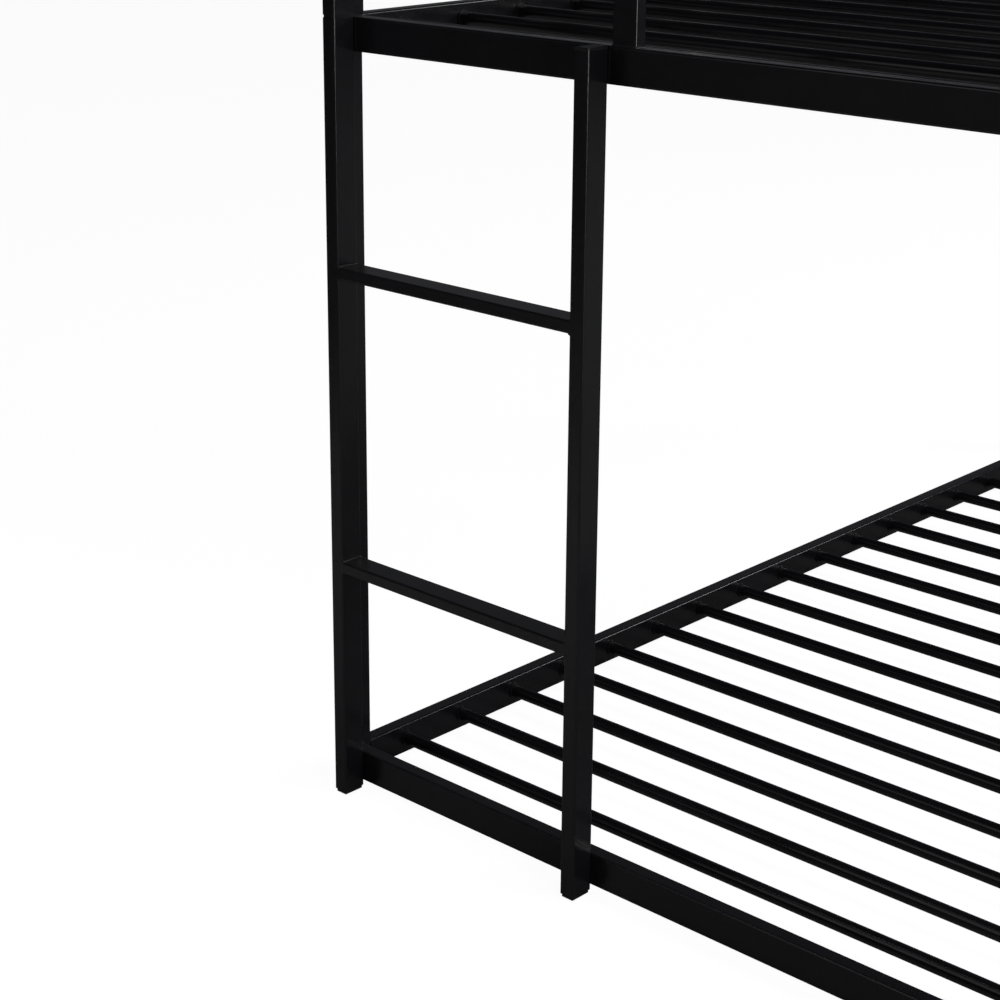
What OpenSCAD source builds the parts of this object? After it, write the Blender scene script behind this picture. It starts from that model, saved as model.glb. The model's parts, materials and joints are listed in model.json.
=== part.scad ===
// Low metal bunk bed with a two-rung ladder built into its foot end.
// The foot end and the ladder face -Y, the head end faces +Y, and the floor is Z = 0.
// The origin is on the floor, under the middle of the bed's outline.

/* [Overall] */
// Clear width between the two side rails
inner_w = 985; // [940:5:1100]
// Clear length between the foot rails and the head rails
inner_l = 1924; // [1900:4:2020]
// Height of the upper deck's top edge above the floor
deck_h = 975; // [940:5:1050]
// Height of the lower deck's top edge above the floor
low_deck_h = 50; // [48:1:120]
// Height of the guard's top above the floor
overall_h = 1255; // [1250:5:1350]

/* [Frame tubes] */
// Side of the square corner posts
post_w = 32; // [30:1:38]
// Thickness of the deck rails, across the rail
rail_t = 20; // [20:1:25]
// Height of the deck rails
rail_h = 40; // [36:1:44]
// Wall of the posts, rails, stiles and guard bars
wall_t = 1.5; // [1.2:0.1:2]
// Outside corner radius of those tubes
corner_r = 2.5; // [2.2:0.1:3]

/* [Ladder] */
// Width of a ladder stile's front face
stile_w = 20; // [20:1:26]
// Depth of a ladder stile, and of the rungs
stile_d = 32; // [30:1:40]
// Length of a rung between the stiles
rung_w = 360; // [300:5:400]
// Height of a rung
rung_h = 15; // [12:1:25]
// Height of the lower rung's top above the floor
lower_rung_top = 316; // [280:2:340]
// Height of the upper rung's top above the floor
upper_rung_top = 686; // [620:2:720]
// Depth of the grab post that carries the left stile up past the deck
grab_d = 48; // [40:1:50]

/* [Slats] */
// Number of slats in each deck
slat_count = 18; // [12:1:20]
// Diameter of a slat
slat_d = 17; // [14:1:19]
// Wall of a slat
slat_wall = 1.2; // [1:0.1:1.5]
// Centre of the first and last slat from the end rail beside it
slat_inset = 78; // [76:1:90]

/* [Guard] */
// Thickness of the guard bars and guard posts
bar_t = 16; // [14:1:18]
// Height of a guard bar, and width of a guard post
bar_h = 32; // [28:1:34]
// Clear width of the ladder entry, between the grab post and the foot guard post
entry_w = 384; // [360:2:420]

/* [Fixings] */
// Thread diameter of every bolt
bolt_d = 6; // [5:1:6]
// Diameter of a bolt's button head
head_d = 11; // [10:0.5:12]
// Height of a bolt's button head
head_h = 3.3; // [3:0.1:4]
// Length of the steel tongue inside each end of a side rail
tongue_l = 50; // [46:1:52]
// Length of the spigot inside each post seam
spigot_l = 110; // [80:5:120]
// Height of the recessed collar that shows in each post seam
collar_h = 3.5; // [2:0.5:5]
// How far the collar's face lies behind the post's
collar_inset = 0.9; // [0.3:0.1:1.2]

/* [Plastic] */
// Height of a foot cap below its tube
foot_h = 5; // [4:0.5:8]
// Rounding of a foot cap's lower edges
foot_soft = 4.2; // [2:0.2:4.6]
// Corner radius of a foot cap, seen from below
foot_corner = 7; // [2.5:0.5:8]
// Height of a top cap above its tube
cap_h = 3; // [2.6:0.2:4]
// Height of a cap's plug inside its tube
plug_h = 15; // [10:1:18]
// Height of the shorter plug in the right stile's top, above the ladder nut
stile_plug_h = 8; // [5:1:9]
// Diameter of a slat bush's flange
bush_d = 22; // [22:0.5:24]
// Thickness of a slat bush's flange
flange_t = 2; // [1.5:0.5:3]

/* [Hidden] */
$fn = 48;

// Colours: satin black powder coat, black moulded plastic, and plain steel inside the tubes
coat = [0.075, 0.075, 0.085];
plastic = [0.04, 0.04, 0.045];
bolt_black = [0.11, 0.11, 0.12];
bare_steel = [0.55, 0.56, 0.58];

// Places across the bed: the rails and posts share the inner face at half_w
half_w = inner_w / 2;
post_x = half_w + post_w / 2;
rail_x = half_w + rail_t / 2;
bar_x = half_w + rail_t - bar_t / 2;

// Places along the bed: the ladder stands in front of the foot posts, and the guard's
// bolt heads stand behind the head posts
total_l = inner_l + 2 * rail_t + stile_d + head_h;
ladder_y = -total_l / 2;
foot_y = ladder_y + stile_d;
head_y = total_l / 2 - head_h;
foot_post_y = foot_y + post_w / 2;
head_post_y = head_y - post_w / 2;
foot_rail_y = foot_y + rail_t / 2;
head_rail_y = head_y - rail_t / 2;
foot_bar_y = foot_y + bar_t / 2;
head_bar_y = head_y - bar_t / 2;
side_y0 = foot_y + post_w;
side_y1 = head_y - post_w;
side_l = side_y1 - side_y0;

// Heights
rail_z = deck_h - rail_h / 2;
low_rail_z = low_deck_h - rail_h / 2;
seam_z = deck_h + collar_h;
tube_top = overall_h - cap_h;
top_bar_z = tube_top - bar_h / 2;
mid_bar_z = (deck_h + tube_top - bar_h) / 2;
under_bar_z = tube_top - bar_h;
post_bolt_z = seam_z + 30;

// Ladder places across the bed
left_stile_x = -half_w + stile_w / 2;
right_stile_x = left_stile_x + stile_w + rung_w;
ladder_mid_y = ladder_y + stile_d / 2;
grab_y = ladder_y + grab_d / 2;

// Guard places
guard_post_x = -half_w + stile_w + entry_w + bar_h / 2;
foot_bar_x0 = guard_post_x + bar_h / 2;
side_post_pitch = side_l / 3;

// Slat rows
slat_pitch = (inner_l - 2 * slat_inset) / (slat_count - 1);
first_slat_y = foot_y + rail_t + slat_inset;
bush_depth = 12;
bush_floor = 1.5;
sleeve_d = slat_d + 3;
slat_end_x = half_w + bush_depth - bush_floor;

// Clearances and fixing sizes
play = 0.1;
cap_play = 0.2;
thread_r = bolt_d / 2 + 0.05;
hole_r = bolt_d / 2 + 0.3;
tongue_wall = 3;
spigot_wall = 2;
tongue_bolts = [14, 36];
rail_bolt_l = 14;
post_bolt_l = 10;
ladder_bolt_l = rail_t + 12;
guard_plug_l = 25;
guard_plug_end = 4;
guard_bolt_l = post_w + 16;
nut_flats = 10;
nut_h = 5;
eps = 1;

// ---- Shapes that repeat ----

// A rectangle with rounded corners, centred
module profile(w, d, r) {
    square([w - 2 * r, d], center = true);
    square([w, d - 2 * r], center = true);
    for (sx = [-1, 1], sy = [-1, 1])
        translate([sx * (w / 2 - r), sy * (d / 2 - r)])
            circle(r);
}

// A straight rectangular tube that stands on Z = 0, w across X and d across Y
module tube(w, d, length) {
    difference() {
        linear_extrude(length)
            profile(w, d, corner_r);
        translate([0, 0, -eps])
            linear_extrude(length + 2 * eps)
                profile(w - 2 * wall_t, d - 2 * wall_t, corner_r - wall_t);
    }
}

// The same tube laid along X from x = 0, thick across Y and high across Z
module tube_x(thick, high, length) {
    rotate([90, 0, 90])
        tube(thick, high, length);
}

// The same tube laid along Y from y = 0, thick across X and high across Z
module tube_y(thick, high, length) {
    rotate([-90, 0, 0])
        tube(thick, high, length);
}

// A round hole or bar of radius r along X or Y, from its start for its length
module round_x(r, length) {
    rotate([0, 90, 0])
        cylinder(r = r, h = length);
}

module round_y(r, length) {
    rotate([-90, 0, 0])
        cylinder(r = r, h = length);
}

// Turn a shape that faces +Z so that it faces along X or Y; side is -1 or 1
module face_x(side) {
    rotate([0, side * 90, 0])
        children();
}

module face_y(side) {
    rotate([-side * 90, 0, 0])
        children();
}

// A button-head socket bolt: the head's seat is Z = 0 and the shank runs down
module bolt(length) {
    difference() {
        union() {
            rotate_extrude()
                polygon([[0, 0], [head_d / 2, 0], [head_d / 2, head_h * 0.3],
                    [head_d * 0.41, head_h * 0.78], [head_d * 0.26, head_h], [0, head_h]]);
            translate([0, 0, -length])
                cylinder(d = bolt_d, h = length);
        }
        translate([0, 0, head_h * 0.35])
            cylinder(r = bolt_d * 0.385, h = head_h, $fn = 6);
    }
}

// The side view of a cap: square above, its two lower corners rounded
module cap_outline(w, h, r) {
    translate([-w / 2, r])
        square([w, h - r]);
    translate([-w / 2 + r, 0])
        square([w - 2 * r, h]);
    for (s = [-1, 1])
        translate([s * (w / 2 - r), r])
            circle(r);
}

// A tube cap that hangs below Z = 0, with a plug that stands up inside the tube
module tube_cap(w, d, h, soft, corner, plug = plug_h) {
    translate([0, 0, -h])
        intersection() {
            linear_extrude(h)
                profile(w, d, corner);
            rotate([90, 0, 0])
                translate([0, 0, -d / 2])
                    linear_extrude(d)
                        cap_outline(w, h, soft);
            rotate([90, 0, 90])
                translate([0, 0, -w / 2])
                    linear_extrude(w)
                        cap_outline(d, h, soft);
        }
    linear_extrude(plug)
        profile(w - 2 * (wall_t + cap_play), d - 2 * (wall_t + cap_play), corner_r - wall_t);
}

// A thin-walled inner sleeve, w by d outside, from Z = 0
module sleeve(w, d, length, wall) {
    difference() {
        linear_extrude(length)
            profile(w - 2 * play, d - 2 * play, corner_r - wall_t + 0.3);
        translate([0, 0, -eps])
            linear_extrude(length + 2 * eps)
                profile(w - 2 * wall, d - 2 * wall, 0.5);
    }
}

// ---- Posts ----

module lower_post(side, y) {
    color(coat)
        translate([side * post_x, y, foot_h])
            tube(post_w, post_w, deck_h - foot_h);
}

// The upper post has a bolt hole in its outer face and two pairs of guard bolt holes
module upper_post(side, y) {
    color(coat)
        difference() {
            translate([side * post_x, y, seam_z])
                tube(post_w, post_w, tube_top - seam_z);
            translate([side * (post_x + post_w / 2 - wall_t / 2), y, post_bolt_z])
                translate([-wall_t, 0, 0])
                    round_x(hole_r, 2 * wall_t);
            for (z = [mid_bar_z, top_bar_z])
                translate([side * bar_x, y - post_w / 2 - eps, z])
                    round_y(hole_r, post_w + 2 * eps);
        }
}

module foot_left_post() { lower_post(-1, foot_post_y); }
module foot_right_post() { lower_post(1, foot_post_y); }
module head_left_post() { lower_post(-1, head_post_y); }
module head_right_post() { lower_post(1, head_post_y); }
module foot_left_upper_post() { upper_post(-1, foot_post_y); }
module foot_right_upper_post() { upper_post(1, foot_post_y); }
module head_left_upper_post() { upper_post(-1, head_post_y); }
module head_right_upper_post() { upper_post(1, head_post_y); }

// ---- Ladder ----

// A stile has one hole through its back wall at each deck rail
module stile(x, top) {
    color(coat)
        difference() {
            translate([x, ladder_mid_y, foot_h])
                tube(stile_w, stile_d, top - foot_h);
            for (z = [low_rail_z, rail_z])
                translate([x, foot_y - 2 * wall_t, z])
                    round_y(hole_r, 2 * wall_t + eps);
        }
}

module rung(top) {
    color(coat)
        translate([left_stile_x + stile_w / 2, ladder_mid_y, top - rung_h / 2])
            tube_x(stile_d, rung_h, rung_w);
}

module ladder_left_stile() { stile(left_stile_x, deck_h); }
module ladder_right_stile() { stile(right_stile_x, deck_h - cap_h); }
module ladder_lower_rung() { rung(lower_rung_top); }
module ladder_upper_rung() { rung(upper_rung_top); }

// The grab post stands over the left stile and the front of the foot rail
module ladder_grab_post() {
    color(coat)
        translate([left_stile_x, grab_y, seam_z])
            tube(stile_w, grab_d, tube_top - seam_z);
}

// ---- Deck rails ----

// An end rail runs between two posts; the foot rails have a bolt hole behind each stile
module end_rail(y, z, for_ladder) {
    color(coat)
        difference() {
            translate([-half_w, y, z])
                tube_x(rail_t, rail_h, inner_w);
            if (for_ladder)
                for (x = [left_stile_x, right_stile_x])
                    translate([x, y - rail_t / 2 - eps, z])
                        round_y(hole_r, rail_t + 2 * eps);
        }
}

// A side rail has a hole for each slat bush, and bolt holes outside for the tongues
module side_rail(side, z) {
    color(coat)
        difference() {
            translate([side * rail_x, side_y0, z])
                tube_y(rail_t, rail_h, side_l);
            for (i = [0 : slat_count - 1])
                translate([side * half_w, first_slat_y + i * slat_pitch, z])
                    face_x(side)
                        translate([0, 0, -eps])
                            cylinder(d = sleeve_d + play, h = wall_t + 2 * eps);
            for (y = tongue_bolt_places())
                translate([side * (half_w + rail_t), y, z])
                    face_x(side)
                        translate([0, 0, -wall_t - eps])
                            cylinder(r = hole_r, h = wall_t + 2 * eps);
        }
}

function tongue_bolt_places() =
    concat([for (b = tongue_bolts) side_y0 + b], [for (b = tongue_bolts) side_y1 - b]);

module lower_foot_rail() { end_rail(foot_rail_y, low_rail_z, true); }
module upper_foot_rail() { end_rail(foot_rail_y, rail_z, true); }
module lower_head_rail() { end_rail(head_rail_y, low_rail_z, false); }
module upper_head_rail() { end_rail(head_rail_y, rail_z, false); }
module lower_left_rail() { side_rail(-1, low_rail_z); }
module lower_right_rail() { side_rail(1, low_rail_z); }
module upper_left_rail() { side_rail(-1, rail_z); }
module upper_right_rail() { side_rail(1, rail_z); }

// ---- Slats and their bushes ----

module slats(z) {
    color(coat)
        for (i = [0 : slat_count - 1])
            translate([-slat_end_x, first_slat_y + i * slat_pitch, z])
                difference() {
                    round_x(slat_d / 2, 2 * slat_end_x);
                    translate([-eps, 0, 0])
                        round_x(slat_d / 2 - slat_wall, 2 * (slat_end_x + eps));
                }
}

// A bush faces +Z into the bed: a flange on the rail, a sleeve through it, and a floor
module bush() {
    difference() {
        union() {
            cylinder(d = bush_d, h = flange_t);
            translate([0, 0, -bush_depth])
                cylinder(d = sleeve_d, h = bush_depth);
        }
        translate([0, 0, -bush_depth + bush_floor])
            cylinder(d = slat_d + play, h = bush_depth + flange_t);
    }
}

module slat_bushes(z) {
    color(plastic)
        for (i = [0 : slat_count - 1], side = [-1, 1])
            translate([side * half_w, first_slat_y + i * slat_pitch, z])
                face_x(-side)
                    bush();
}

module lower_slats() { slats(low_rail_z); }
module upper_slats() { slats(rail_z); }
module lower_slat_bushes() { slat_bushes(low_rail_z); }
module upper_slat_bushes() { slat_bushes(rail_z); }

// ---- Guard ----

module guard_upright(x, y, w, d, top) {
    color(coat)
        translate([x, y, deck_h])
            tube(w, d, top - deck_h);
}

module foot_guard_post() { guard_upright(guard_post_x, foot_bar_y, bar_h, bar_t, tube_top); }

module foot_guard_bar(z) {
    color(coat)
        translate([foot_bar_x0, foot_bar_y, z])
            tube_x(bar_t, bar_h, half_w - foot_bar_x0);
}

module foot_guard_top_bar() { foot_guard_bar(top_bar_z); }
module foot_guard_mid_bar() { foot_guard_bar(mid_bar_z); }

module head_guard_post() { guard_upright(0, head_bar_y, bar_h, bar_t, under_bar_z); }

module head_guard_top_bar() {
    color(coat)
        translate([-half_w, head_bar_y, top_bar_z])
            tube_x(bar_t, bar_h, inner_w);
}

// The middle bar of the head guard is two lengths, one each side of its post
module head_guard_mid_bars() {
    color(coat)
        for (x = [-half_w, bar_h / 2])
            translate([x, head_bar_y, mid_bar_z])
                tube_x(bar_t, bar_h, half_w - bar_h / 2);
}

module side_guard_top_bar(side) {
    color(coat)
        translate([side * bar_x, side_y0, top_bar_z])
            tube_y(bar_t, bar_h, side_l);
}

// The middle bar of a side guard is three lengths between the posts
module side_guard_mid_bars(side) {
    starts = [side_y0, side_y0 + side_post_pitch + bar_h / 2, side_y1 - side_post_pitch + bar_h / 2];
    ends = [side_y0 + side_post_pitch - bar_h / 2, side_y1 - side_post_pitch - bar_h / 2, side_y1];
    color(coat)
        for (i = [0 : 2])
            translate([side * bar_x, starts[i], mid_bar_z])
                tube_y(bar_t, bar_h, ends[i] - starts[i]);
}

module side_guard_post(side, y) { guard_upright(side * bar_x, y, bar_t, bar_h, under_bar_z); }

module left_guard_top_bar() { side_guard_top_bar(-1); }
module left_guard_mid_bars() { side_guard_mid_bars(-1); }
module left_guard_foot_post() { side_guard_post(-1, side_y0 + side_post_pitch); }
module left_guard_head_post() { side_guard_post(-1, side_y1 - side_post_pitch); }
module right_guard_top_bar() { side_guard_top_bar(1); }
module right_guard_mid_bars() { side_guard_mid_bars(1); }
module right_guard_foot_post() { side_guard_post(1, side_y0 + side_post_pitch); }
module right_guard_head_post() { side_guard_post(1, side_y1 - side_post_pitch); }

// ---- Fixings ----

// A tongue is fixed to a post and slides into the end of a side rail; end is -1 or 1
module tongue(side, end, z) {
    post_face = end < 0 ? side_y0 : side_y1;
    inner_t = rail_t - 2 * wall_t;
    inner_h = rail_h - 2 * wall_t;
    difference() {
        translate([side * rail_x, post_face, z])
            face_y(-end)
                sleeve(inner_t, inner_h, tongue_l, tongue_wall);
        for (b = tongue_bolts)
            translate([side * (half_w + rail_t / 2), post_face - end * b, z])
                face_x(side)
                    cylinder(r = thread_r, h = rail_t / 2);
    }
}

module rail_tongues() {
    color(bare_steel)
        for (side = [-1, 1], end = [-1, 1], z = [low_rail_z, rail_z])
            tongue(side, end, z);
}

module rail_bolts() {
    color(bolt_black)
        for (side = [-1, 1], y = tongue_bolt_places(), z = [low_rail_z, rail_z])
            translate([side * (half_w + rail_t), y, z])
                face_x(side)
                    bolt(rail_bolt_l);
}

// A spigot with a collar that keeps the two tubes of a post apart
module spigot(w, d, collar_w, collar_d, collar_shift) {
    difference() {
        union() {
            translate([0, 0, -spigot_l / 2])
                linear_extrude(spigot_l)
                    profile(w - 2 * play, d - 2 * play, corner_r - wall_t + 0.3);
            translate([0, collar_shift, 0])
                linear_extrude(collar_h)
                    profile(collar_w, collar_d, corner_r - collar_inset);
        }
        translate([0, 0, -spigot_l / 2 - eps])
            linear_extrude(spigot_l + 2 * eps)
                profile(w - 2 * spigot_wall, d - 2 * spigot_wall, 0.5);
    }
}

// Each post spigot has a threaded hole behind the post bolt
module post_spigots() {
    inner = post_w - 2 * wall_t;
    color(coat)
        for (side = [-1, 1], y = [foot_post_y, head_post_y])
            difference() {
                translate([side * post_x, y, deck_h])
                    spigot(inner, inner, post_w - 2 * collar_inset, post_w - 2 * collar_inset, 0);
                translate([side * post_x, y, post_bolt_z])
                    face_x(side)
                        cylinder(r = thread_r, h = post_w / 2);
            }
}

module post_bolts() {
    color(bolt_black)
        for (side = [-1, 1], y = [foot_post_y, head_post_y])
            translate([side * (post_x + post_w / 2), y, post_bolt_z])
                face_x(side)
                    bolt(post_bolt_l);
}

// The grab post's spigot fits the stile, and its collar is as deep as the grab post
module grab_post_spigot() {
    color(coat)
        translate([left_stile_x, ladder_mid_y, deck_h])
            spigot(stile_w - 2 * wall_t, stile_d - 2 * wall_t,
                stile_w - 2 * collar_inset, grab_d - 2 * collar_inset, (grab_d - stile_d) / 2);
}

module ladder_bolts() {
    color(bolt_black)
        for (x = [left_stile_x, right_stile_x], z = [low_rail_z, rail_z])
            translate([x, foot_y + rail_t, z])
                face_y(1)
                    bolt(ladder_bolt_l);
}

module ladder_nuts() {
    color(bare_steel)
        for (x = [left_stile_x, right_stile_x], z = [low_rail_z, rail_z])
            translate([x, foot_y - wall_t, z])
                face_y(-1)
                    difference() {
                        cylinder(d = nut_flats / cos(30), h = nut_h, $fn = 6);
                        translate([0, 0, -eps])
                            cylinder(r = thread_r, h = nut_h + 2 * eps);
                    }
}

// A threaded plug in each end of the side guard bars
module guard_plug() {
    difference() {
        linear_extrude(guard_plug_l)
            profile(bar_t - 2 * (wall_t + play), bar_h - 2 * (wall_t + play), corner_r - wall_t + 0.3);
        translate([0, 0, -eps])
            cylinder(r = thread_r, h = guard_plug_l - guard_plug_end);
    }
}

module guard_plugs() {
    color(plastic)
        for (side = [-1, 1], end = [-1, 1], z = [mid_bar_z, top_bar_z])
            translate([side * bar_x, end < 0 ? side_y0 : side_y1, z])
                face_y(-end)
                    guard_plug();
}

module guard_bolts() {
    color(bolt_black)
        for (side = [-1, 1], end = [-1, 1], z = [mid_bar_z, top_bar_z])
            translate([side * bar_x, end < 0 ? foot_y : head_y, z])
                face_y(end)
                    bolt(guard_bolt_l);
}

// ---- Plastic caps ----

module foot_cap(x, y, w, d) {
    color(plastic)
        translate([x, y, foot_h])
            tube_cap(w, d, foot_h, foot_soft, foot_corner);
}

module top_cap(x, y, w, d, z = tube_top, plug = plug_h) {
    color(plastic)
        translate([x, y, z])
            mirror([0, 0, 1])
                tube_cap(w, d, cap_h, cap_h * 0.45, corner_r, plug);
}

module foot_left_foot_cap() { foot_cap(-post_x, foot_post_y, post_w, post_w); }
module foot_right_foot_cap() { foot_cap(post_x, foot_post_y, post_w, post_w); }
module head_left_foot_cap() { foot_cap(-post_x, head_post_y, post_w, post_w); }
module head_right_foot_cap() { foot_cap(post_x, head_post_y, post_w, post_w); }
module ladder_left_foot_cap() { foot_cap(left_stile_x, ladder_mid_y, stile_w, stile_d); }
module ladder_right_foot_cap() { foot_cap(right_stile_x, ladder_mid_y, stile_w, stile_d); }

module post_top_caps() {
    for (side = [-1, 1], y = [foot_post_y, head_post_y])
        top_cap(side * post_x, y, post_w, post_w);
}

// The right stile's cap is flush with the deck
module ladder_right_top_cap() {
    top_cap(right_stile_x, ladder_mid_y, stile_w, stile_d, deck_h - cap_h, stile_plug_h);
}

module grab_post_cap() { top_cap(left_stile_x, grab_y, stile_w, grab_d); }
module guard_post_cap() { top_cap(guard_post_x, foot_bar_y, bar_h, bar_t); }

foot_left_post();
foot_right_post();
head_left_post();
head_right_post();
foot_left_upper_post();
foot_right_upper_post();
head_left_upper_post();
head_right_upper_post();
ladder_left_stile();
ladder_right_stile();
ladder_lower_rung();
ladder_upper_rung();
ladder_grab_post();
lower_foot_rail();
lower_head_rail();
lower_left_rail();
lower_right_rail();
upper_foot_rail();
upper_head_rail();
upper_left_rail();
upper_right_rail();
lower_slats();
upper_slats();
lower_slat_bushes();
upper_slat_bushes();
foot_guard_post();
foot_guard_top_bar();
foot_guard_mid_bar();
head_guard_post();
head_guard_top_bar();
head_guard_mid_bars();
left_guard_top_bar();
left_guard_mid_bars();
left_guard_foot_post();
left_guard_head_post();
right_guard_top_bar();
right_guard_mid_bars();
right_guard_foot_post();
right_guard_head_post();
rail_tongues();
rail_bolts();
post_spigots();
post_bolts();
grab_post_spigot();
ladder_bolts();
ladder_nuts();
guard_plugs();
guard_bolts();
foot_left_foot_cap();
foot_right_foot_cap();
head_left_foot_cap();
head_right_foot_cap();
ladder_left_foot_cap();
ladder_right_foot_cap();
post_top_caps();
ladder_right_top_cap();
grab_post_cap();
guard_post_cap();
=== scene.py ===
import json
import math
import bmesh
import bpy
from mathutils import Matrix, Vector


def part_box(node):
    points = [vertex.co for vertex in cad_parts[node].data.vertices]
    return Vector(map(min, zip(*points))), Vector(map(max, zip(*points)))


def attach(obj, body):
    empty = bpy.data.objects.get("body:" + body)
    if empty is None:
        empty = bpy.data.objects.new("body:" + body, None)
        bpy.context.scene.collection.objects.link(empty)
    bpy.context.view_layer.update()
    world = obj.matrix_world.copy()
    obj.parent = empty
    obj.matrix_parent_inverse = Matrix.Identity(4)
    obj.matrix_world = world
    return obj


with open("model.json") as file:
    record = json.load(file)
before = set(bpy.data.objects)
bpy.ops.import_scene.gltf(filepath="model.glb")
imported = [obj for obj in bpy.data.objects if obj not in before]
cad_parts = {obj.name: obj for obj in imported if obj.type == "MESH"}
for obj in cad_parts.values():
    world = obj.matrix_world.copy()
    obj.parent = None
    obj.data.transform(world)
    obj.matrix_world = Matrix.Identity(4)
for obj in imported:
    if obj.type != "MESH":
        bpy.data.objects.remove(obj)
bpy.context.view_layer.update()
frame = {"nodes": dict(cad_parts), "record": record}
nodes = frame["nodes"]
mm = 0.001
print("frame loaded:", len(nodes), "nodes")


cameraSettings = {
    "place": (1.3225, -2.6587, 1.249),  # right of the foot end, a little above the upper deck
    "turn": 44.16,  # degrees to the left of straight along the bed
    "tilt": -16.82,
    "lens": 76.62,
    "shift": (0.05, -0.09),  # the picture is cropped off centre, on the ladder's side
}


def addCamera(settings):
    data = bpy.data.cameras.new("camera")
    data.lens = settings["lens"]
    data.sensor_width = 36
    data.shift_x, data.shift_y = settings["shift"]
    data.clip_end = 60
    camera = bpy.data.objects.new("camera", data)
    camera.location = settings["place"]
    camera.rotation_euler = (math.radians(90 + settings["tilt"]), 0, math.radians(settings["turn"]))
    bpy.context.scene.collection.objects.link(camera)
    bpy.context.scene.camera = camera


addCamera(cameraSettings)
print("camera placed")


def newMaterial(name):
    material = bpy.data.materials.new(name)
    material.use_nodes = True
    tree = material.node_tree
    shader = tree.nodes["Principled BSDF"]
    place = tree.nodes.new("ShaderNodeTexCoord").outputs["Object"]
    return material, tree, shader, place


def addNoise(tree, place, scale, detail=2.0, roughness=0.5, stretch=None):
    if stretch:  # the pattern is drawn out along an axis
        mapping = tree.nodes.new("ShaderNodeMapping")
        mapping.inputs["Scale"].default_value = stretch
        tree.links.new(place, mapping.inputs["Vector"])
        place = mapping.outputs["Vector"]
    node = tree.nodes.new("ShaderNodeTexNoise")
    node.inputs["Scale"].default_value = scale
    node.inputs["Detail"].default_value = detail
    node.inputs["Roughness"].default_value = roughness
    tree.links.new(place, node.inputs["Vector"])
    return node.outputs["Fac"]


noiseSpan = (0.3, 0.7)  # where the values of a noise pattern mostly lie


def addRange(tree, value, low, high):
    node = tree.nodes.new("ShaderNodeMapRange")
    node.inputs["From Min"].default_value = noiseSpan[0]
    node.inputs["From Max"].default_value = noiseSpan[1]
    node.inputs["To Min"].default_value = low
    node.inputs["To Max"].default_value = high
    tree.links.new(value, node.inputs["Value"])
    return node.outputs["Result"]


def addRamp(tree, value, stops):
    node = tree.nodes.new("ShaderNodeValToRGB")
    ramp = node.color_ramp
    while len(ramp.elements) < len(stops):
        ramp.elements.new(0.5)
    for element, (position, colour) in zip(ramp.elements, stops):
        element.position = position
        element.color = (*colour, 1)
    tree.links.new(value, node.inputs["Fac"])
    return node.outputs["Color"]


def addBump(tree, height, distance, strength, under=None):
    node = tree.nodes.new("ShaderNodeBump")
    node.inputs["Distance"].default_value = distance
    node.inputs["Strength"].default_value = strength
    tree.links.new(height, node.inputs["Height"])
    if under:
        tree.links.new(under, node.inputs["Normal"])
    return node.outputs["Normal"]


powderLook = {
    "dark": (0.0062, 0.0062, 0.0075),
    "light": (0.0095, 0.0095, 0.0118),
    "dust": (0.020, 0.020, 0.023),  # a few pale grains in the coat
    "dustScale": 900,
    "dustFrom": (0.76, 0.84),
    "cloudScale": 7,
    "smearScale": 26,
    "roughness": (0.18, 0.27),
    "peelScale": 520,  # orange peel, about 2 mm across
    "peelDepth": 0.05 * mm,
    "grainScale": 2600,
    "grainDepth": 0.012 * mm,
}


def powderCoat(name, look, peel=1.0):
    material, tree, shader, place = newMaterial(name)
    clouds = addNoise(tree, place, look["cloudScale"], 4, 0.55)
    specks = addNoise(tree, place, look["dustScale"], 1)
    tone = addRamp(tree, clouds, list(zip(noiseSpan, (look["dark"], look["light"]))))
    dust = addRamp(tree, specks, list(zip(look["dustFrom"], ((0, 0, 0), (1, 1, 1)))))
    mix = tree.nodes.new("ShaderNodeMix")
    mix.data_type = "RGBA"
    tree.links.new(dust, mix.inputs["Factor"])
    tree.links.new(tone, mix.inputs["A"])
    mix.inputs["B"].default_value = (*look["dust"], 1)
    tree.links.new(mix.outputs["Result"], shader.inputs["Base Color"])
    smears = addNoise(tree, place, look["smearScale"], 5, 0.6)
    tree.links.new(addRange(tree, smears, *look["roughness"]), shader.inputs["Roughness"])
    grain = addBump(tree, addNoise(tree, place, look["grainScale"], 2), look["grainDepth"], 0.6)
    peelWave = addNoise(tree, place, look["peelScale"], 2, 0.4)
    normal = addBump(tree, peelWave, look["peelDepth"] * peel, 0.7, grain)
    tree.links.new(normal, shader.inputs["Normal"])
    return material


plasticLook = {
    "colour": ((0.006, 0.006, 0.0065), (0.010, 0.010, 0.0108)),
    "cloudScale": 40,
    "grainScale": 1500,
    "grainDepth": 0.05 * mm,
}


def mouldedPlastic(name, look, roughness):
    material, tree, shader, place = newMaterial(name)
    clouds = addNoise(tree, place, look["cloudScale"], 3)
    tree.links.new(addRamp(tree, clouds, list(zip(noiseSpan, look["colour"]))), shader.inputs["Base Color"])
    tree.links.new(addRange(tree, clouds, *roughness), shader.inputs["Roughness"])
    spark = addNoise(tree, place, look["grainScale"], 3, 0.65)
    tree.links.new(addBump(tree, spark, look["grainDepth"], 0.5), shader.inputs["Normal"])
    return material


steelLook = {
    "darker": 0.7,  # the tone of the dark lines against the light ones
    "lineScale": 300,
    "lineDepth": 0.02 * mm,
}


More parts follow.
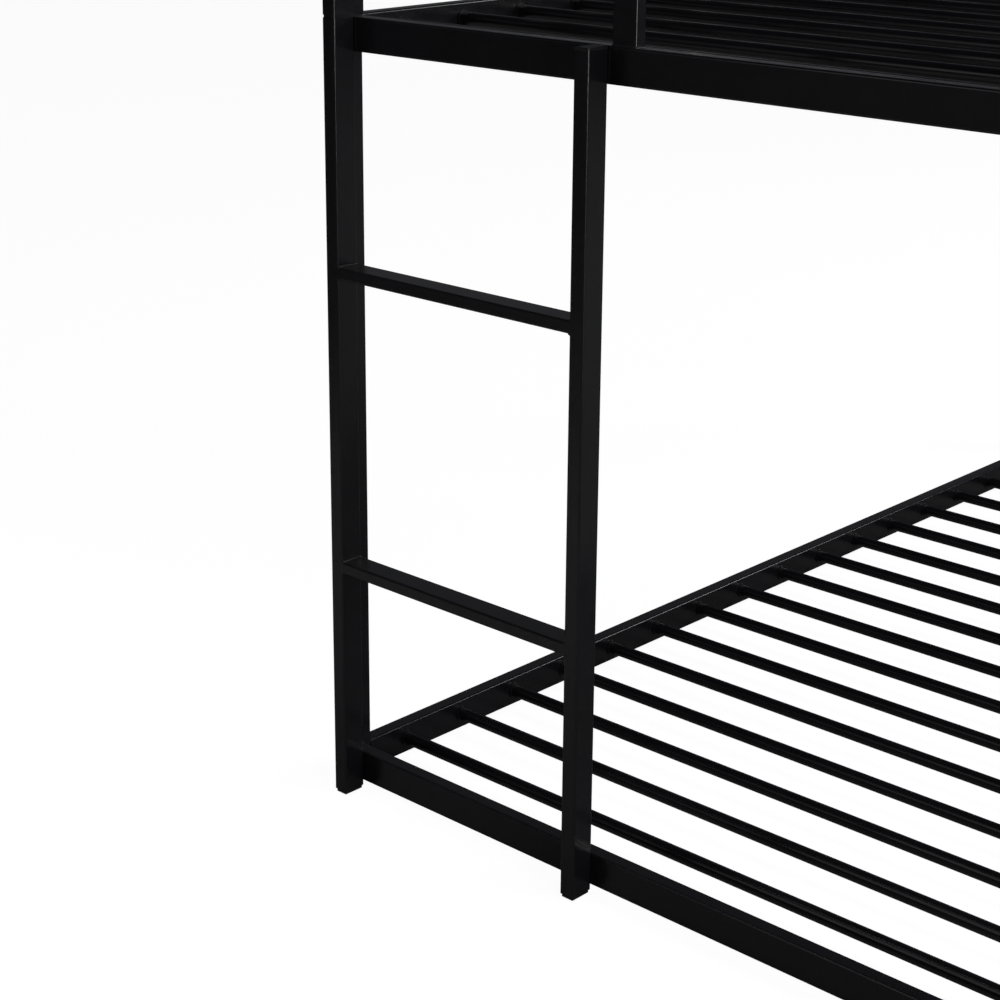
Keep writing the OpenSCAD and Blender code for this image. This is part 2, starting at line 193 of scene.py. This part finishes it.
def plainSteel(name, look, colour, roughness, metallic, stretch=(1, 1, 1)):
    material, tree, shader, place = newMaterial(name)
    lines = addNoise(tree, place, look["lineScale"], 3, 0.6, stretch)
    darker = tuple(look["darker"] * channel for channel in colour)
    tree.links.new(addRamp(tree, lines, list(zip(noiseSpan, (darker, colour)))), shader.inputs["Base Color"])
    tree.links.new(addRange(tree, lines, *roughness), shader.inputs["Roughness"])
    tree.links.new(addBump(tree, lines, look["lineDepth"], 0.4), shader.inputs["Normal"])
    shader.inputs["Metallic"].default_value = metallic
    return material


finishes = {
    "frame_coat": powderCoat("frameCoat", powderLook),
    "slat_coat": powderCoat("slatCoat", powderLook, 0.8),
    "cap_plastic": mouldedPlastic("capPlastic", plasticLook, (0.42, 0.55)),
    "bush_plastic": mouldedPlastic("bushPlastic", plasticLook, (0.22, 0.34)),
    "bolt_steel": plainSteel("blackBolt", steelLook, (0.030, 0.030, 0.033), (0.25, 0.4), 0.6),
    "bare_steel": plainSteel("zincSteel", steelLook, (0.50, 0.51, 0.53), (0.3, 0.45), 1.0, (1, 0.1, 1)),
}
weldFinish = powderCoat("weldCoat", powderLook, 1.6)

slotOfNode = {part["node"]: part["material_slot"] for part in frame["record"]["subparts"]}
for nodeName, piece in nodes.items():
    piece.data.materials.clear()
    piece.data.materials.append(finishes[slotOfNode[nodeName]])
print("finishes set on", len(nodes), "nodes")


weldBead = {
    "radius": 1.7 * mm,  # of the bead's own section
    "corner": 2.5 * mm,  # the bead's turn round a tube's corner
    "ripple": 0.28 * mm,  # height of the solidified ripples
    "rippleStep": 2.4 * mm,
    "proud": 0.04 * mm,  # how far a ground weld stands over the tube's face
    "section": 8,
    "turnSteps": 16,
    "cutsInRipple": 3,
}

groundPatch = {
    "width": 4.4 * mm,
    "depth": 3 * mm,
    "back": 0.8 * mm,  # its middle lies this far inside the post, over the round corner
    "proud": 0.03 * mm,
    "softEdge": 0.45 * mm,
    "rungMargin": 1.2 * mm,  # how much lower the patch is than the tube
    "railMargin": 3 * mm,
}


def beadRing(halfA, halfB, bead):
    form = bmesh.new()
    section = Matrix.Translation((bead["corner"], 0, 0)) @ Matrix.Rotation(math.radians(90), 4, "X")
    bmesh.ops.create_circle(form, segments=bead["section"], radius=bead["radius"], matrix=section)
    steps = bead["turnSteps"]
    bmesh.ops.spin(form, geom=form.verts[:] + form.edges[:], cent=(0, 0, 0), axis=(0, 0, 1),
                   angle=2 * math.pi, steps=steps, use_merge=True)
    bmesh.ops.rotate(form, verts=form.verts, cent=(0, 0, 0), matrix=Matrix.Rotation(math.pi / steps, 3, "Z"))
    for vert in form.verts:  # each quarter turn moves out to its own corner
        vert.co.x += math.copysign(halfA - bead["corner"], vert.co.x)
        vert.co.y += math.copysign(halfB - bead["corner"], vert.co.y)
    for side in (0, 1):
        straight = [e for e in form.edges if e.verts[0].co[side] * e.verts[1].co[side] < 0]
        cuts = int(2 * (halfA, halfB)[side] / bead["rippleStep"] * bead["cutsInRipple"])
        bmesh.ops.subdivide_edges(form, edges=straight, cuts=cuts)
    form.normal_update()
    for vert in form.verts:  # the overlapping pools of a weld, seen along the bead
        wave = math.cos(2 * math.pi * (vert.co.x + vert.co.y) / bead["rippleStep"])
        vert.co += vert.normal * bead["ripple"] * wave
    bmesh.ops.recalc_face_normals(form, faces=form.faces)
    return form


def tubeEnd(nodeName, axis, where):
    low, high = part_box(nodeName)
    middle = (low + high) / 2
    middle[axis] = where
    across = [k for k in (0, 1, 2) if k != axis]
    return middle, across, [(high[k] - low[k]) / 2 for k in across]


def addRing(form, nodeName, axis, where, flush=()):
    # a bead round a tube's end; flush lists the sides that are ground level with it, as (axis, direction)
    middle, across, halves = tubeEnd(nodeName, axis, where)
    ring = beadRing(halves[0], halves[1], weldBead)
    turn = Matrix.Identity(3)
    for row, column in zip(across + [axis], range(3)):
        for k in range(3):
            turn[k][column] = 1.0 if k == row else 0.0
    bmesh.ops.transform(ring, matrix=Matrix.Translation(middle) @ turn.to_4x4(), verts=ring.verts)
    for side, sign in flush:
        limit = middle[side] + sign * (halves[across.index(side)] + weldBead["proud"])
        for vert in ring.verts:
            if sign * (vert.co[side] - limit) > 0:
                vert.co[side] = limit
    bmesh.ops.recalc_face_normals(ring, faces=ring.faces)
    joinForm(form, ring)


def joinForm(form, other):
    mesh = bpy.data.meshes.new("part")
    other.to_mesh(mesh)
    form.from_mesh(mesh)
    other.free()
    bpy.data.meshes.remove(mesh)


def addPatch(form, nodeName, x, inward, outward, margin):
    # a ground weld at the tube's end x, which fills the hollow beside the post's round corner
    patch = groundPatch
    low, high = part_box(nodeName)
    y = low.y if outward < 0 else high.y
    sunk = patch["depth"] / 2 - patch["proud"]
    centre = (x - inward * patch["back"], y - outward * sunk, (low.z + high.z) / 2)
    size = (patch["width"], patch["depth"], high.z - low.z - margin)
    block = bmesh.new()
    bmesh.ops.create_cube(block, size=1, matrix=Matrix.Translation(centre) @ Matrix.Diagonal((*size, 1)))
    bmesh.ops.bevel(block, geom=block.edges[:], offset=patch["softEdge"], segments=3, profile=0.5,
                    affect="EDGES", material=-1)
    joinForm(form, block)


def finishPiece(form, name):
    mesh = bpy.data.meshes.new(name)
    form.to_mesh(mesh)
    form.free()
    for face in mesh.polygons:
        face.use_smooth = True
    mesh.materials.append(weldFinish)
    piece = bpy.data.objects.new(name, mesh)
    bpy.context.scene.collection.objects.link(piece)
    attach(piece, "root")


def endsOf(nodeName, axis):
    low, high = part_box(nodeName)
    return low[axis], high[axis]


# the sides of the bed, each as an axis and a direction along it
front, back, left, right = (1, -1), (1, 1), (0, -1), (0, 1)


def ladderWelds():
    form = bmesh.new()
    for rung in ("ladder_lower_rung", "ladder_upper_rung"):
        for x, inward in zip(endsOf(rung, 0), (1, -1)):
            addRing(form, rung, 0, x, [front, back])
            for outward in (-1, 1):
                addPatch(form, rung, x, inward, outward, groundPatch["rungMargin"])
    finishPiece(form, "ladder_welds")


def endRailWelds():
    form = bmesh.new()
    for rail, flushSide in (("lower_foot_rail", front), ("upper_foot_rail", front),
                            ("lower_head_rail", back), ("upper_head_rail", back)):
        for x, inward in zip(endsOf(rail, 0), (1, -1)):
            addRing(form, rail, 0, x, [flushSide])
            addPatch(form, rail, x, inward, flushSide[1], groundPatch["railMargin"])
    finishPiece(form, "end_rail_welds")


def guardWelds():
    form = bmesh.new()
    for bar in ("foot_guard_top_bar", "foot_guard_mid_bar"):
        for x in endsOf(bar, 0):
            addRing(form, bar, 0, x, [front])
    addRing(form, "foot_guard_post", 2, endsOf("foot_guard_post", 2)[0], [front])
    for x in endsOf("head_guard_top_bar", 0):
        addRing(form, "head_guard_top_bar", 0, x, [back])
    for x in endsOf("head_guard_mid_bars", 0) + endsOf("head_guard_post", 0):
        addRing(form, "head_guard_mid_bars", 0, x, [back])
    for z in endsOf("head_guard_post", 2):
        addRing(form, "head_guard_post", 2, z, [back])
    for side, outside in (("left", left), ("right", right)):
        for post in (f"{side}_guard_foot_post", f"{side}_guard_head_post"):
            for z in endsOf(post, 2):
                addRing(form, post, 2, z, [outside])
            for y in endsOf(post, 1):
                addRing(form, f"{side}_guard_mid_bars", 1, y, [outside])
    finishPiece(form, "guard_welds")


ladderWelds()
endRailWelds()
guardWelds()
print("weld beads made")


stageSettings = {
    "floorSize": 40,
    "floorTone": 0.20,
    "floorRoughness": 0.9,
    "floorShine": 0.1,
    "floorLift": 0.95,  # how far the floor's own tone is lifted to a pale studio sweep
    "mirrored": 0.32,  # the floor's tone where the metal mirrors it
    "walls": (0.075, 0.076, 0.082),  # what the dark metal mirrors low down, all round the room
    "ceiling": (0.014, 0.0145, 0.0165),
    "ceilingFrom": (0.42, 0.62),  # sine of the height angle where the walls end and the ceiling begins
    "backdrop": 0.965,
}

lamps = {
    "backBox": {"place": (3.0, 4.2, 2.8), "target": (0, -0.4, 0.7), "size": (1.6, 1.6), "power": 80},
    "sideBox": {"place": (3.3, -2.2, 0.95), "target": (-0.2, -0.9, 0.8), "size": (1.1, 1.0), "power": 30},
    "topBox": {"place": (2.6, 0.2, 4.2), "target": (0.2, 0, 0.6), "size": (2.4, 3.2), "power": 60},
    # the next two light only the floor that the metal mirrors; spread is in degrees
    "floorBox": {"place": (-1.0, -2.0, 2.2), "target": (-1.0, -2.0, 0), "size": (0.8, 0.8),
                 "power": 3.3, "spread": 70},
    "farBox": {"place": (-2.3, -6.6, 3.5), "target": (-2.3, -6.6, 0), "size": (1.6, 1.6),
               "power": 16, "spread": 118},
    "sheenBox": {"place": (-1.1, -3.3, 1.8), "target": (0.2, -0.7, 0.05), "size": (1.0, 1.8), "power": 2.8},
}


def addFloor(settings):
    form = bmesh.new()
    bmesh.ops.create_grid(form, x_segments=1, y_segments=1, size=settings["floorSize"] / 2)
    mesh = bpy.data.meshes.new("floor")
    form.to_mesh(mesh)
    form.free()
    material, tree, shader, _ = newMaterial("paleFloor")
    shader.inputs["Base Color"].default_value = (*[settings["floorTone"]] * 3, 1)
    shader.inputs["Roughness"].default_value = settings["floorRoughness"]
    shader.inputs["Specular IOR Level"].default_value = settings["floorShine"]
    shader.inputs["Emission Color"].default_value = (1, 1, 1, 1)
    shader.inputs["Emission Strength"].default_value = settings["floorLift"]
    dark = tree.nodes.new("ShaderNodeBsdfDiffuse")
    dark.inputs["Color"].default_value = (*[settings["mirrored"]] * 3, 1)
    seen = tree.nodes.new("ShaderNodeLightPath")
    choose = tree.nodes.new("ShaderNodeMixShader")
    tree.links.new(seen.outputs["Is Camera Ray"], choose.inputs["Fac"])
    tree.links.new(dark.outputs["BSDF"], choose.inputs[1])
    tree.links.new(shader.outputs["BSDF"], choose.inputs[2])
    tree.links.new(choose.outputs["Shader"], tree.nodes["Material Output"].inputs["Surface"])
    mesh.materials.append(material)
    floor = bpy.data.objects.new("floor", mesh)
    bpy.context.scene.collection.objects.link(floor)


def addBackdrop(settings):
    world = bpy.data.worlds.new("studio")
    bpy.context.scene.world = world
    world.use_nodes = True
    tree = world.node_tree
    tree.nodes.clear()
    ways = tree.nodes.new("ShaderNodeSeparateXYZ")
    tree.links.new(tree.nodes.new("ShaderNodeTexCoord").outputs["Generated"], ways.inputs["Vector"])
    colours = (settings["walls"], settings["ceiling"])
    room = addRamp(tree, ways.outputs["Z"], list(zip(settings["ceilingFrom"], colours)))
    sky = tree.nodes.new("ShaderNodeBackground")
    tree.links.new(room, sky.inputs["Color"])
    white = tree.nodes.new("ShaderNodeBackground")
    white.inputs["Color"].default_value = (*[settings["backdrop"]] * 3, 1)
    seen = tree.nodes.new("ShaderNodeLightPath")
    choose = tree.nodes.new("ShaderNodeMixShader")
    out = tree.nodes.new("ShaderNodeOutputWorld")
    tree.links.new(seen.outputs["Is Camera Ray"], choose.inputs["Fac"])
    tree.links.new(sky.outputs["Background"], choose.inputs[1])
    tree.links.new(white.outputs["Background"], choose.inputs[2])
    tree.links.new(choose.outputs["Shader"], out.inputs["Surface"])


def addLamp(name, settings):
    data = bpy.data.lights.new(name, "AREA")
    data.shape = "RECTANGLE"
    data.size, data.size_y = settings["size"]
    data.energy = settings["power"]
    data.spread = math.radians(settings.get("spread", 180))
    lamp = bpy.data.objects.new(name, data)
    place = Vector(settings["place"])
    aim = (Vector(settings["target"]) - place).to_track_quat("-Z", "Y")
    lamp.matrix_world = Matrix.Translation(place) @ aim.to_matrix().to_4x4()
    lamp.visible_camera = False
    bpy.context.scene.collection.objects.link(lamp)


addFloor(stageSettings)
addBackdrop(stageSettings)
for lampName, lampValues in lamps.items():
    addLamp(lampName, lampValues)
bpy.context.scene.view_settings.view_transform = "Standard"
print("stage and lamps set")
